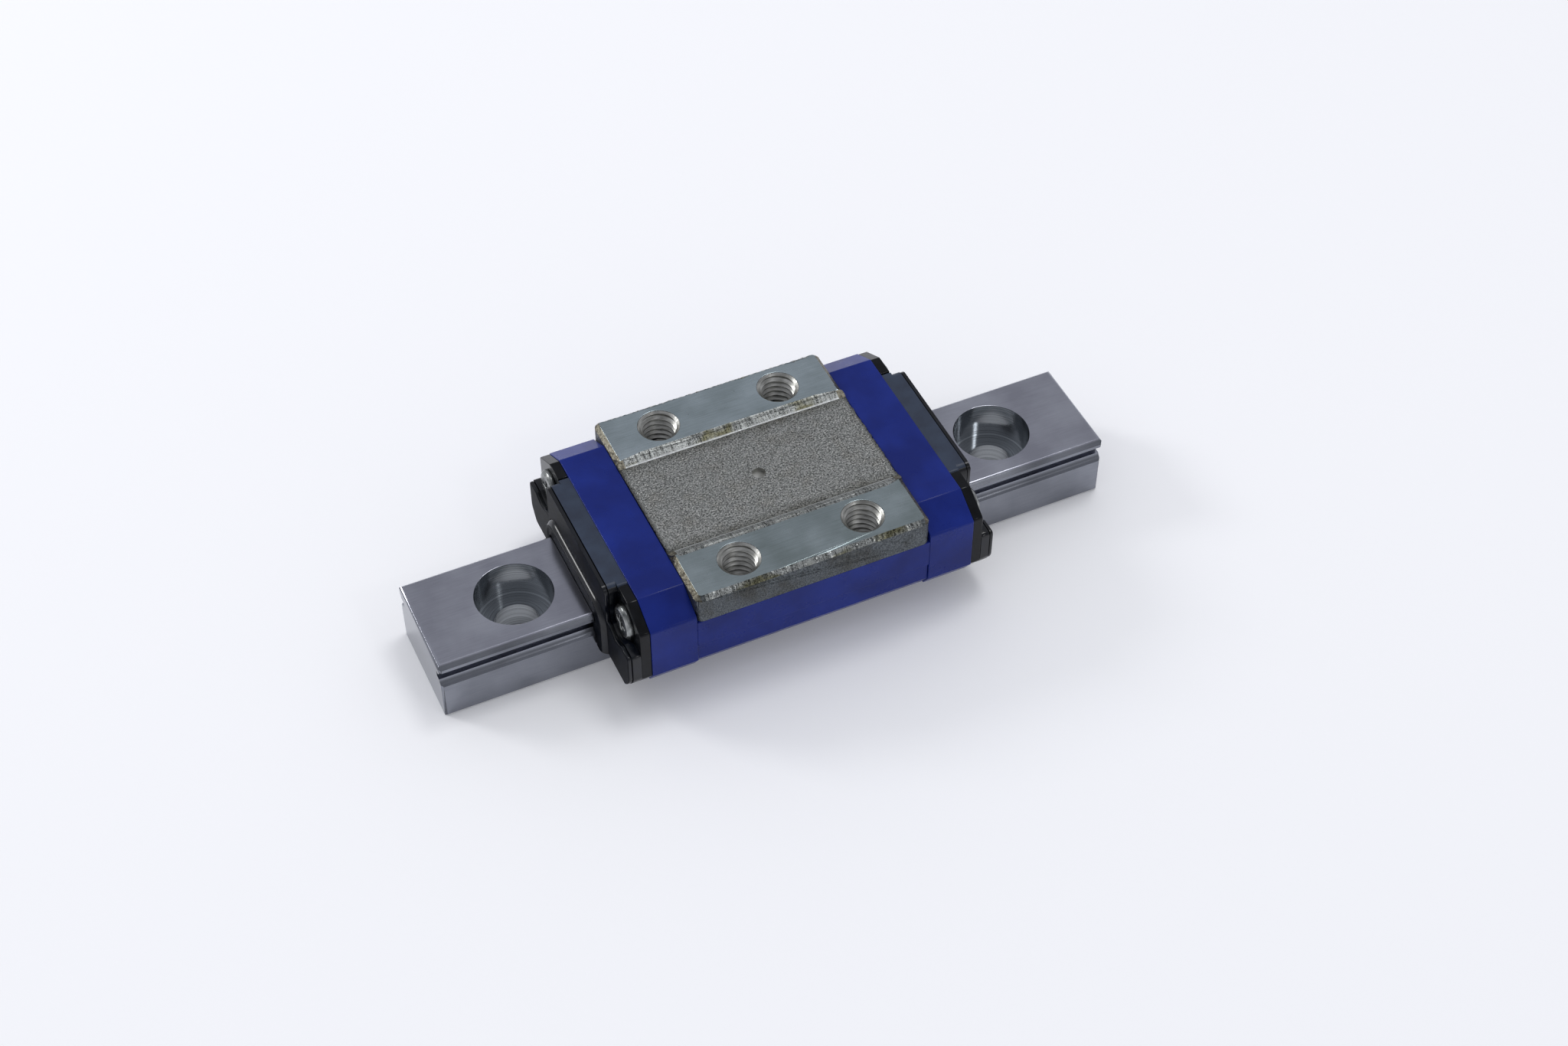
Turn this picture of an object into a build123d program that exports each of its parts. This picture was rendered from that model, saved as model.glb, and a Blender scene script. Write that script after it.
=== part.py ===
from build123d import *
import math
import os

# Miniature linear guide of size 9: a recirculating ball block on a short rail.
# Sizes are millimetres. X runs along the rail, Y across it and Z up.
# The rail stands on z = 0 and the block is at the middle of its travel.

# Rail
rail_length = 55.0
rail_width = 9.0
rail_height = 5.5
rail_edge_chamfer = 0.35
rail_foot_chamfer = 0.2
rail_end_chamfer = 0.15
rail_hole_count = 3
rail_hole_pitch = 20.0
rail_hole_diameter = 3.5
counterbore_diameter = 6.0
counterbore_depth = 3.2

# Balls, their grooves and their way back
ball_diameter = 1.588
ball_gap = 0.02
ball_sides = 8
groove_radius = 0.85
groove_depth = 0.5
ball_height = 4.1
return_bore_diameter = 1.75
return_outer_wall = 0.825
return_inner_wall = 0.325

# Retaining wires
wire_diameter = 0.3
wire_ball_gap = 0.055
wire_relief_gap = 0.08
wire_relief_height = 0.56
wire_hook_length = 1.75
wire_bend_length = 0.2
wire_slot_gap = 0.04

# Steel block
block_length = 18.9
block_width = 20.0
block_height = 10.0
flange_thickness = 2.45
shoulder_drop = 1.55
shoulder_inset = 1.1
leg_foot_height = 2.9
leg_rail_gap = 0.7
roof_rail_gap = 0.7
pad_width = 4.75
recess_depth = 0.3
recess_slope = 0.65
block_corner_radius = 0.6
pad_edge_bevel = 0.35
dimple_diameter = 1.05
dimple_depth = 0.35
mount_pitch_x = 10.0
mount_pitch_y = 15.0
tap_drill_diameter = 2.5
tap_depth = 3.0
tap_mouth_diameter = 3.3
tap_mouth_angle = 90.0
drill_point_angle = 118.0

# Moulded side parts
side_step_height = 5.05
side_step_inset = 0.15
side_toe_gap = 0.8

# Moulded end caps
cap_length = 3.65
cap_top_drop = 0.45
cap_shoulder_width = 2.35
cap_shoulder_drop = 1.4
cap_edge_radius = 0.3
underside_height = 2.2
foot_bevel_width = 0.8
foot_bevel_height = 1.2
cap_rail_gap = 0.4
cap_slot_radius = 0.5
scoop_rail_gap = 0.12

# Inner halves of the ball turns
guide_height = 3.0
guide_gap = 0.03

# End seals
seal_plate_thickness = 0.8
seal_inset = 0.08
seal_thickness = 0.7
seal_neck_distance = 4.1
seal_shelf_drop = 1.2
seal_corner_radius = 0.7
seal_hood_radius = 0.25
seal_hood_depth = 0.6
seal_groove_width = 0.08
seal_groove_depth = 0.2
seal_face_thickness = 0.27
seal_face_inset = 0.05
seal_rail_gap = 0.1
lip_height = 0.45
lip_width = 1.2
lip_bevel = 0.4
lip_corner_radius = 1.9

# Screws of the end caps
screw_side_distance = 2.6
screw_shoulder_rise = 1.3
screw_diameter = 1.6
screw_hole_gap = 0.1
screw_thread_gap = 0.02
screw_thread_length = 2.4
screw_pilot_extra = 0.3
screw_head_diameter = 2.8
screw_head_height = 0.5
screw_head_bevel = 0.22
screw_pocket_gap = 0.2
cross_length = 1.45
cross_width = 0.36
cross_depth = 0.32

# Places that follow from the sizes
ball_radius = ball_diameter / 2
return_radius = return_bore_diameter / 2
half_width = block_width / 2
load_y = rail_width / 2 - groove_depth + groove_radius
return_y = half_width - return_outer_wall - return_radius
turn_radius = (return_y - load_y) / 2
turn_y = load_y + turn_radius
block_end = block_length / 2
cap_end = block_end + cap_length
plate_end = cap_end + seal_plate_thickness
seal_end = plate_end + seal_thickness
seal_face_start = seal_end + seal_groove_width
seal_face_end = seal_face_start + seal_face_thickness
leg_inner = rail_width / 2 + leg_rail_gap
leg_outer = return_y - return_radius - return_inner_wall
roof_height = rail_height + roof_rail_gap
flange_height = block_height - flange_thickness
shoulder_height = flange_height - shoulder_drop
shoulder_y = half_width - shoulder_inset
pad_inner = half_width - pad_width
recess_floor = block_height - recess_depth
cap_height = block_height - cap_top_drop
cap_shoulder_y = half_width - cap_shoulder_width
cap_shoulder_height = cap_height - cap_shoulder_drop
foot_y = half_width - foot_bevel_width
foot_height = underside_height + foot_bevel_height
wire_y = load_y - ball_radius - wire_ball_gap - wire_diameter / 2
relief_y = wire_y - wire_diameter / 2 - wire_relief_gap
turn_reach = block_end + turn_radius + groove_radius
hook_x = (turn_reach + cap_end) / 2
wire_slot_width = wire_diameter + 2 * wire_slot_gap
screw_y = half_width - screw_side_distance
screw_height = shoulder_height + screw_shoulder_rise
screw_places = [(-screw_y, screw_height), (screw_y, screw_height)]
seal_side = half_width - seal_inset
seal_top = cap_height - seal_inset
seal_base = underside_height + seal_inset
neck_y = half_width - seal_neck_distance
shelf_height = screw_height - seal_shelf_drop
pocket_radius = screw_head_diameter / 2 + screw_pocket_gap
scoop_radius = groove_radius - scoop_rail_gap

# How near a corner or an edge lies to the place by which it is picked
pick_margin = 0.01

os.makedirs("parts", exist_ok=True)


def finish(piece, name):
    """Label a finished piece and write it."""
    piece.part.label = name
    export_step(piece.part, f"parts/{name}.step")


def end_outline(inset):
    """The outer outline of cap and seal plate, without the rail's slot."""
    side = half_width - inset
    top = cap_height - inset
    base = underside_height + inset
    with BuildSketch() as outline:
        with BuildLine():
            Polyline(
                (0, base),
                (foot_y - inset, base),
                (side, foot_height),
                (side, cap_shoulder_height),
                (cap_shoulder_y, top),
                (0, top),
            )
            mirror(about=Plane.YZ)
        make_face()
        upper_corners = outline.vertices().filter_by(
            lambda corner: corner.Y > foot_height + pick_margin
        )
        fillet(upper_corners, cap_edge_radius)
    return outline.sketch


def rail_slot():
    """The slot of cap and seal plate that clears the rail."""
    slot_top = rail_height + cap_rail_gap
    with BuildSketch() as slot:
        with Locations((0, slot_top / 2)):
            Rectangle(rail_width + 2 * cap_rail_gap, slot_top)
        fillet(slot.vertices().group_by(Axis.Y)[-1], cap_slot_radius)
    return slot.sketch


# Rail: grooves for the balls, a fine relief behind each for the wire, and counterbored holes
with BuildPart() as rail:
    with BuildSketch(Plane.YZ) as rail_section:
        with Locations((0, rail_height / 2)):
            Rectangle(rail_width, rail_height)
        chamfer(rail_section.vertices().group_by(Axis.Y)[-1], rail_edge_chamfer)
        chamfer(rail_section.vertices().group_by(Axis.Y)[0], rail_foot_chamfer)
        with Locations((-load_y, ball_height), (load_y, ball_height)):
            Circle(groove_radius, mode=Mode.SUBTRACT)
        with Locations((0, ball_height)):
            relief_band = Rectangle(2 * load_y, wire_relief_height, mode=Mode.PRIVATE)
            relief_core = Rectangle(2 * relief_y, wire_relief_height, mode=Mode.PRIVATE)
        add(relief_band - relief_core, mode=Mode.SUBTRACT)
    extrude(amount=rail_length / 2, both=True)
    end_edges = rail.edges().filter_by(Axis.Y).group_by(Axis.Z)[-1]
    chamfer(end_edges, rail_end_chamfer)
    with Locations(Plane.XY.offset(rail_height)):
        with GridLocations(rail_hole_pitch, 0, rail_hole_count, 1):
            CounterBoreHole(
                radius=rail_hole_diameter / 2,
                counter_bore_radius=counterbore_diameter / 2,
                counter_bore_depth=counterbore_depth,
                depth=rail_height,
            )
finish(rail, "rail")

# Steel block: pads beside a shallow recess, flanges, shoulders and the two grooved legs
with BuildPart() as slider_body:
    with BuildSketch(Plane.YZ) as slider_section:
        with BuildLine():
            Polyline(
                (0, roof_height),
                (leg_inner, roof_height),
                (leg_inner, leg_foot_height),
                (leg_outer, leg_foot_height),
                (leg_outer, shoulder_height),
                (shoulder_y, shoulder_height),
                (shoulder_y, flange_height),
                (half_width, flange_height),
                (half_width, block_height),
                (pad_inner, block_height),
                (pad_inner - recess_slope, recess_floor),
                (0, recess_floor),
            )
            mirror(about=Plane.YZ)
        make_face()
        with Locations((-load_y, ball_height), (load_y, ball_height)):
            Circle(groove_radius, mode=Mode.SUBTRACT)
    extrude(amount=block_end, both=True)
    corners = slider_body.edges().filter_by(Axis.Z)
    outer_corners = corners.filter_by(lambda edge: abs(edge.center().Y) > half_width - pick_margin)
    fillet(outer_corners, block_corner_radius)
    top_edges = slider_body.edges().group_by(Axis.Z)[-1]
    pad_rims = top_edges.filter_by(lambda edge: abs(edge.center().Y) > pad_inner + pick_margin)
    chamfer(pad_rims, pad_edge_bevel)
    with Locations(Plane.XY.offset(block_height)):
        with GridLocations(mount_pitch_x, mount_pitch_y, 2, 2):
            CounterSinkHole(
                radius=tap_drill_diameter / 2,
                counter_sink_radius=tap_mouth_diameter / 2,
                depth=tap_depth,
                counter_sink_angle=tap_mouth_angle,
            )
    drill_point = tap_drill_diameter / 2 / math.tan(math.radians(drill_point_angle / 2))
    with Locations(Plane.XY.offset(block_height - tap_depth)):
        with GridLocations(mount_pitch_x, mount_pitch_y, 2, 2):
            Cone(
                bottom_radius=0,
                top_radius=tap_drill_diameter / 2,
                height=drill_point,
                align=(Align.CENTER, Align.CENTER, Align.MAX),
                mode=Mode.SUBTRACT,
            )
    with Locations((0, 0, recess_floor)):
        Hole(dimple_diameter / 2, depth=dimple_depth)
    for side in (-1, 1):
        with BuildSketch(Plane.YZ.offset(side * block_end)):
            with Locations(screw_places):
                Circle(screw_diameter / 2 + screw_thread_gap)
        extrude(amount=-side * (screw_thread_length + screw_pilot_extra), mode=Mode.SUBTRACT)
finish(slider_body, "slider_body")

# Moulded side part: wraps the steel leg below the flange and holds the return bore
with BuildPart() as side_frame_rear:
    with BuildSketch(Plane.YZ):
        with BuildLine():
            Polyline(
                (leg_outer, leg_foot_height),
                (leg_outer, shoulder_height),
                (shoulder_y, shoulder_height),
                (shoulder_y, flange_height),
                (half_width, flange_height),
                (half_width, side_step_height),
                (half_width - side_step_inset, side_step_height),
                (half_width - side_step_inset, foot_height),
                (foot_y - side_step_inset, underside_height),
                (rail_width / 2 + side_toe_gap, underside_height),
                (rail_width / 2 + side_toe_gap, leg_foot_height),
                close=True,
            )
        make_face()
        with Locations((return_y, ball_height)):
            Circle(return_radius, mode=Mode.SUBTRACT)
    extrude(amount=block_end, both=True)
finish(side_frame_rear, "side_frame_rear")

with BuildPart() as side_frame_front:
    mirror(side_frame_rear.part, about=Plane.XZ)
finish(side_frame_front, "side_frame_front")

# End cap: half of each ball turn, a pocket for the turn's inner half, and the scoops in the grooves
with BuildPart() as end_cap_right:
    with BuildSketch(Plane.YZ.offset(block_end)):
        add(end_outline(0))
        add(rail_slot(), mode=Mode.SUBTRACT)
        with Locations((-load_y, ball_height), (load_y, ball_height)):
            Circle(scoop_radius)
    extrude(amount=cap_length)
    for side in (-1, 1):
        with BuildSketch(Plane.YZ.offset(block_end)):
            with Locations((side * load_y, ball_height)):
                Circle(groove_radius)
        turn_axis = Axis((block_end, side * turn_y, 0), (0, 0, side))
        revolve(axis=turn_axis, revolution_arc=180, mode=Mode.SUBTRACT)
        with BuildSketch(Plane.XY.offset(ball_height - guide_height / 2)):
            with BuildLine():
                pocket_arc = CenterArc((block_end, side * turn_y), turn_radius, -90, 180)
                Line(pocket_arc @ 1, pocket_arc @ 0)
            make_face()
        extrude(amount=guide_height, mode=Mode.SUBTRACT)
        slot_length = load_y + wire_hook_length - wire_y
        with BuildSketch(Plane.XY.offset(ball_height - wire_slot_width / 2)):
            with Locations((hook_x, side * (wire_y + slot_length / 2))):
                Rectangle(wire_slot_width, slot_length)
        extrude(amount=wire_slot_width, mode=Mode.SUBTRACT)
    with BuildSketch(Plane.YZ.offset(block_end)):
        with Locations(screw_places):
            Circle(screw_diameter / 2 + screw_hole_gap)
    extrude(amount=cap_length, mode=Mode.SUBTRACT)
finish(end_cap_right, "end_cap_right")

with BuildPart() as end_cap_left:
    mirror(end_cap_right.part, about=Plane.YZ)
finish(end_cap_left, "end_cap_left")

# Inner half of a ball turn: a half round block with the groove that the balls roll round
with BuildPart() as return_guide_right_rear:
    with BuildSketch(Plane.XY.offset(ball_height - guide_height / 2 + guide_gap)):
        with BuildLine():
            guide_arc = CenterArc((block_end, turn_y), turn_radius - guide_gap, -90, 180)
            Line(guide_arc @ 1, guide_arc @ 0)
        make_face()
    extrude(amount=guide_height - 2 * guide_gap)
    with BuildSketch(Plane.YZ.offset(block_end)):
        with Locations((load_y, ball_height)):
            Circle(groove_radius)
    revolve(axis=Axis((block_end, turn_y, 0), (0, 0, 1)), revolution_arc=180, mode=Mode.SUBTRACT)
finish(return_guide_right_rear, "return_guide_right_rear")

with BuildPart() as return_guide_right_front:
    mirror(return_guide_right_rear.part, about=Plane.XZ)
finish(return_guide_right_front, "return_guide_right_front")

with BuildPart() as return_guide_left_rear:
    mirror(return_guide_right_rear.part, about=Plane.YZ)
finish(return_guide_left_rear, "return_guide_left_rear")

with BuildPart() as return_guide_left_front:
    mirror(return_guide_left_rear.part, about=Plane.XZ)
finish(return_guide_left_front, "return_guide_left_front")

# Balls: spread evenly along each closed circuit of two straights and two half turns
half_turn = math.pi * turn_radius
circuit_length = 2 * block_length + 2 * half_turn
turn_pitch = 2 * turn_radius * math.asin((ball_diameter + ball_gap) / (2 * turn_radius))
balls_per_circuit = int(circuit_length // turn_pitch)
ball_pitch = circuit_length / balls_per_circuit


def circuit_place(distance):
    """The point of the rear circuit at a distance along it from the start of the loaded row."""
    if distance < block_length:
        return (distance - block_end, load_y)
    distance -= block_length
    if distance < half_turn:
        angle = distance / turn_radius
        return (
            block_end + turn_radius * math.sin(angle),
            turn_y - turn_radius * math.cos(angle),
        )
    distance -= half_turn
    if distance < block_length:
        return (block_end - distance, return_y)
    angle = (distance - block_length) / turn_radius
    return (
        -block_end - turn_radius * math.sin(angle),
        turn_y + turn_radius * math.cos(angle),
    )


# One ball has few flat faces, because the guide holds dozens of them out of sight:
# a prism with bevelled ends, whose corners all lie on the true sphere
ball_ring = ball_radius * math.cos(math.pi / ball_sides)
with BuildPart() as ball:
    with BuildSketch():
        RegularPolygon(ball_ring, ball_sides)
    extrude(amount=ball_ring, both=True)
    end_rings = ball.edges().filter_by(Axis.Z, reverse=True)
    chamfer(end_rings, ball_ring - ball_radius * math.sin(math.pi / ball_sides))

ball_places = [circuit_place((index + 0.5) * ball_pitch) for index in range(balls_per_circuit)]
with BuildPart() as balls_rear:
    with Locations([(x, y, ball_height) for x, y in ball_places]):
        add(ball.part)
finish(balls_rear, "balls_rear")

with BuildPart() as balls_front:
    mirror(balls_rear.part, about=Plane.XZ)
finish(balls_front, "balls_front")

# Retaining wire: straight behind the loaded row, with its ends hooked out into the caps
hook_end = load_y + wire_hook_length - wire_slot_gap
with BuildPart() as retaining_wire_rear:
    with BuildLine(Plane.XY.offset(ball_height)) as wire_path:
        Polyline(
            (-hook_x, hook_end),
            (-hook_x, wire_y + wire_bend_length),
            (-hook_x + wire_bend_length, wire_y),
            (hook_x - wire_bend_length, wire_y),
            (hook_x, wire_y + wire_bend_length),
            (hook_x, hook_end),
        )
    with BuildSketch(Plane(origin=wire_path.line @ 0, z_dir=wire_path.line % 0)):
        Circle(wire_diameter / 2)
    sweep(transition=Transition.RIGHT)
finish(retaining_wire_rear, "retaining_wire_rear")

with BuildPart() as retaining_wire_front:
    mirror(retaining_wire_rear.part, about=Plane.XZ)
finish(retaining_wire_front, "retaining_wire_front")

# Backing plate of the end seal, notched at its top where the rubber reaches back to the cap
with BuildPart() as seal_plate_right:
    with BuildSketch(Plane.YZ.offset(cap_end)):
        add(end_outline(seal_inset))
        add(rail_slot(), mode=Mode.SUBTRACT)
        with Locations((0, seal_top)):
            Rectangle(
                2 * neck_y,
                seal_hood_depth,
                align=(Align.CENTER, Align.MAX),
                mode=Mode.SUBTRACT,
            )
        with Locations(screw_places):
            Circle(screw_diameter / 2 + screw_hole_gap, mode=Mode.SUBTRACT)
    extrude(amount=seal_plate_thickness)
finish(seal_plate_right, "seal_plate_right")

with BuildPart() as seal_plate_left:
    mirror(seal_plate_right.part, about=Plane.YZ)
finish(seal_plate_left, "seal_plate_left")


def rail_band(reach, corner_radius):
    """The rail's outline grown by a reach, down to the seal's underside."""
    with BuildSketch() as band:
        with Locations((0, rail_height / 2)):
            Rectangle(rail_width + 2 * reach, rail_height + 2 * reach)
        fillet(band.vertices().group_by(Axis.Y)[-1], corner_radius)
        with Locations((0, seal_base)):
            Rectangle(
                block_width,
                block_height,
                align=(Align.CENTER, Align.MIN),
                mode=Mode.INTERSECT,
            )
    return band.sketch


def seal_neck(depth, corner_radius):
    """The upper middle of the seal, from its rounded top corners down by a depth."""
    with BuildSketch() as neck:
        with Locations((0, seal_top)):
            Rectangle(2 * neck_y, depth, align=(Align.CENTER, Align.MAX))
        fillet(neck.vertices().group_by(Axis.Y)[-1], corner_radius)
    return neck.sketch


def seal_outline(inset):
    """The rubber's outline without the rail's slot: open at its upper corners for the screws."""
    with BuildSketch() as outline:
        with BuildLine():
            Polyline(
                (0, seal_base),
                (foot_y - seal_inset, seal_base),
                (seal_side, foot_height),
                (seal_side, shelf_height),
                (0, shelf_height),
            )
            mirror(about=Plane.YZ)
        make_face()
        add(seal_neck(seal_top - shelf_height + seal_corner_radius, seal_corner_radius))
        with Locations(screw_places):
            Circle(pocket_radius, mode=Mode.SUBTRACT)
        if inset:
            offset(amount=-inset, kind=Kind.INTERSECTION)
    return outline.sketch


# Rubber of the end seal: a hood over the plate, a face behind a fine groove, and a lip that
# closes on the rail
with BuildPart() as seal_lip_right:
    with BuildSketch(Plane.YZ.offset(cap_end)):
        add(seal_neck(seal_hood_depth, seal_hood_radius))
    extrude(amount=seal_plate_thickness)
    with BuildSketch(Plane.YZ.offset(plate_end)):
        add(seal_outline(0))
    extrude(amount=seal_thickness)
    with BuildSketch(Plane.YZ.offset(seal_end)):
        add(seal_outline(seal_groove_depth))
    extrude(amount=seal_groove_width)
    with BuildSketch(Plane.YZ.offset(seal_face_start)):
        add(seal_outline(seal_face_inset))
    extrude(amount=seal_face_thickness)
    with BuildSketch(Plane.YZ.offset(seal_face_end)):
        add(rail_band(seal_rail_gap + lip_width, lip_corner_radius))
    extrude(amount=lip_height)
    lip_rims = seal_lip_right.edges().group_by(Axis.X)[-1]
    rims_above_base = lip_rims.filter_by(lambda edge: edge.center().Z > seal_base + pick_margin)
    chamfer(rims_above_base, lip_bevel)
    with BuildSketch(Plane.YZ.offset(plate_end)):
        add(rail_band(seal_rail_gap, seal_rail_gap + rail_edge_chamfer))
        with Locations((-load_y, ball_height), (load_y, ball_height)):
            Circle(scoop_radius, mode=Mode.SUBTRACT)
    extrude(amount=seal_face_end + lip_height - plate_end, mode=Mode.SUBTRACT)
finish(seal_lip_right, "seal_lip_right")

with BuildPart() as seal_lip_left:
    mirror(seal_lip_right.part, about=Plane.YZ)
finish(seal_lip_left, "seal_lip_left")

# Screws through seal plate and cap into the steel
with BuildPart() as cap_screws_right:
    with BuildSketch(Plane.YZ.offset(plate_end)):
        with Locations(screw_places):
            Circle(screw_head_diameter / 2)
    extrude(amount=screw_head_height)
    chamfer(cap_screws_right.edges().group_by(Axis.X)[-1], screw_head_bevel)
    with BuildSketch(Plane.YZ.offset(plate_end)):
        with Locations(screw_places):
            Circle(screw_diameter / 2)
    extrude(amount=block_end - screw_thread_length - plate_end)
    with BuildSketch(Plane.YZ.offset(plate_end + screw_head_height)):
        with Locations(screw_places):
            Rectangle(cross_length, cross_width)
            Rectangle(cross_width, cross_length)
    extrude(amount=-cross_depth, mode=Mode.SUBTRACT)
finish(cap_screws_right, "cap_screws_right")

with BuildPart() as cap_screws_left:
    mirror(cap_screws_right.part, about=Plane.YZ)
finish(cap_screws_left, "cap_screws_left")
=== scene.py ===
import math

import bpy
from mathutils import Matrix, Vector, noise


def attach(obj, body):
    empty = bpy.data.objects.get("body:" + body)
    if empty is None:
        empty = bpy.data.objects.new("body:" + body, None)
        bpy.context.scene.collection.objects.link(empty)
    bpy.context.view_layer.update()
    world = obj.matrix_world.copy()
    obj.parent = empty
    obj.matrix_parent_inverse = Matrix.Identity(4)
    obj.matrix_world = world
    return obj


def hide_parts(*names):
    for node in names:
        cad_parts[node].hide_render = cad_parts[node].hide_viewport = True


# A miniature linear guide: a steel block with blue end caps on a short counterbored rail.
# Lengths in the dictionaries are millimetres; Blender works in metres.
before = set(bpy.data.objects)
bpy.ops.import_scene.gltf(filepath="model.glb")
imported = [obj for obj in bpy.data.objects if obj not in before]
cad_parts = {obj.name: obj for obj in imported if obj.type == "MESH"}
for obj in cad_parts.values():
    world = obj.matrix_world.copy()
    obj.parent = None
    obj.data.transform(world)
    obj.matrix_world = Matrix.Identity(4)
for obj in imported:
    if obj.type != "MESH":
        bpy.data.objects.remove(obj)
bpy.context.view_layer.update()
mm = 0.001
bpy.context.scene.view_settings.view_transform = "Standard"


def hexColor(text):
    channels = [int(text[i:i + 2], 16) / 255 for i in (1, 3, 5)]
    return [c / 12.92 if c <= 0.04045 else ((c + 0.055) / 1.055) ** 2.4 for c in channels] + [1]


def perMm(size):
    return 1000 / size  # texture scale at which a pattern repeats about every size millimetres


def addNode(tree, kind, settings=None, links=None, target=None):
    node = tree.nodes.new(kind)
    for name, value in (settings or {}).items():
        if name == "stops":  # a colour ramp: (place, hex colour) pairs
            ramp = node.color_ramp
            while len(ramp.elements) < len(value):
                ramp.elements.new(1)
            for stop, (place, color) in zip(ramp.elements, value):
                stop.position = place
                stop.color = hexColor(color)
        elif isinstance(name, str) and hasattr(node, name):
            setattr(node, name, value)
        else:
            node.inputs[name].default_value = value
    for name, source in (links or {}).items():
        tree.links.new(source, node.inputs[name])
    if target is not None:
        tree.links.new(node.outputs[0], target)
    return node


def newMaterial(name, settings):
    material = bpy.data.materials.new(name)
    material.use_nodes = True
    tree = material.node_tree
    shader = tree.nodes["Principled BSDF"]
    for key, value in settings.items():
        shader.inputs[key].default_value = value
    place = addNode(tree, "ShaderNodeTexCoord").outputs["Object"]
    return material, tree, shader, place


def onlySelect(piece):
    if bpy.context.mode != "OBJECT":
        bpy.ops.object.mode_set(mode="OBJECT")
    bpy.ops.object.select_all(action="DESELECT")
    piece.select_set(True)
    bpy.context.view_layer.objects.active = piece


# edit mode with only those points, edges or faces selected that wanted() accepts, places in mm
def pick(piece, kind, wanted):
    onlySelect(piece)
    bpy.ops.object.mode_set(mode="EDIT")
    bpy.ops.mesh.select_mode(type=kind)
    bpy.ops.mesh.select_all(action="DESELECT")
    bpy.ops.object.mode_set(mode="OBJECT")
    points = [vertex.co / mm for vertex in piece.data.vertices]
    if kind == "VERT":
        for vertex, point in zip(piece.data.vertices, points):
            vertex.select = wanted(point)
    elif kind == "EDGE":
        for edge in piece.data.edges:
            edge.select = wanted(*(points[i] for i in edge.vertices))
    else:
        for face in piece.data.polygons:
            face.select = wanted(face.center / mm, face.normal)
    bpy.ops.object.mode_set(mode="EDIT")


def cut(piece, wanted, place, normal):
    pick(piece, "FACE", wanted)
    bpy.ops.mesh.bisect(plane_co=Vector(place) * mm, plane_no=normal)
    bpy.ops.object.mode_set(mode="OBJECT")


def divide(piece, cuts, wanted):
    pick(piece, "EDGE", wanted)
    bpy.ops.mesh.subdivide(number_cuts=cuts)
    bpy.ops.object.mode_set(mode="OBJECT")


def applyModifiers(piece):
    onlySelect(piece)
    for modifier in list(piece.modifiers):
        bpy.ops.object.modifier_apply(modifier=modifier.name)


# rounds the sharp edges that wanted() accepts, places and width in mm
def roundEdges(piece, width, segments=2, wanted=None, angle=30):
    onlySelect(piece)
    bpy.ops.object.mode_set(mode="EDIT")
    bpy.ops.mesh.select_mode(type="EDGE")
    bpy.ops.mesh.select_all(action="DESELECT")
    bpy.ops.mesh.edges_select_sharp(sharpness=math.radians(angle))
    bpy.ops.object.mode_set(mode="OBJECT")
    points = [vertex.co / mm for vertex in piece.data.vertices]
    chosen = [edge.index for edge in piece.data.edges
              if edge.select and (wanted is None or wanted(*(points[i] for i in edge.vertices)))]
    bpy.ops.object.mode_set(mode="EDIT")
    bpy.ops.mesh.select_all(action="DESELECT")
    bpy.ops.object.mode_set(mode="OBJECT")
    for index in chosen:
        piece.data.edges[index].select = True
    bpy.ops.object.mode_set(mode="EDIT")
    bpy.ops.mesh.bevel(offset=width * mm, segments=segments, affect="EDGES", clamp_overlap=False)
    bpy.ops.object.mode_set(mode="OBJECT")


# draws back any point that a rounding has pushed out of the CAD piece's own box
def keepInside(piece, node):
    corners = [Vector(corner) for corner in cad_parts[node].bound_box]
    for axis in range(3):
        low = min(corner[axis] for corner in corners)
        high = max(corner[axis] for corner in corners)
        for vertex in piece.data.vertices:
            vertex.co[axis] = min(max(vertex.co[axis], low), high)


# a CAD node's mesh as a piece of its own: merged, with its flat faces joined up
def copyNode(node, name):
    piece = bpy.data.objects.new(name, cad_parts[node].data.copy())
    bpy.context.scene.collection.objects.link(piece)
    piece.data.materials.clear()
    onlySelect(piece)
    if piece.data.has_custom_normals:
        bpy.ops.mesh.customdata_custom_splitnormals_clear()
    bpy.ops.object.mode_set(mode="EDIT")
    bpy.ops.mesh.select_all(action="SELECT")
    bpy.ops.mesh.remove_doubles(threshold=0.001 * mm)
    bpy.ops.mesh.dissolve_limited(angle_limit=math.radians(0.5))
    bpy.ops.object.mode_set(mode="OBJECT")
    return piece


def smooth(piece, angle=35, flat=None):
    onlySelect(piece)
    bpy.ops.object.shade_smooth_by_angle(angle=math.radians(angle))
    for face in piece.data.polygons:
        if flat and flat(face.center / mm, face.normal):
            face.use_smooth = False
    weighted = piece.modifiers.new("normals", "WEIGHTED_NORMAL")
    weighted.keep_sharp = True
    applyModifiers(piece)


def paintFaces(piece, index, wanted):
    for face in piece.data.polygons:
        if wanted(face.center / mm, face.normal):
            face.material_index = index


def dress(piece, body, nodes, materials):
    piece.data.materials.clear()
    for material in materials:
        piece.data.materials.append(material)
    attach(piece, body)
    if nodes:
        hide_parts(*nodes)


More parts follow.
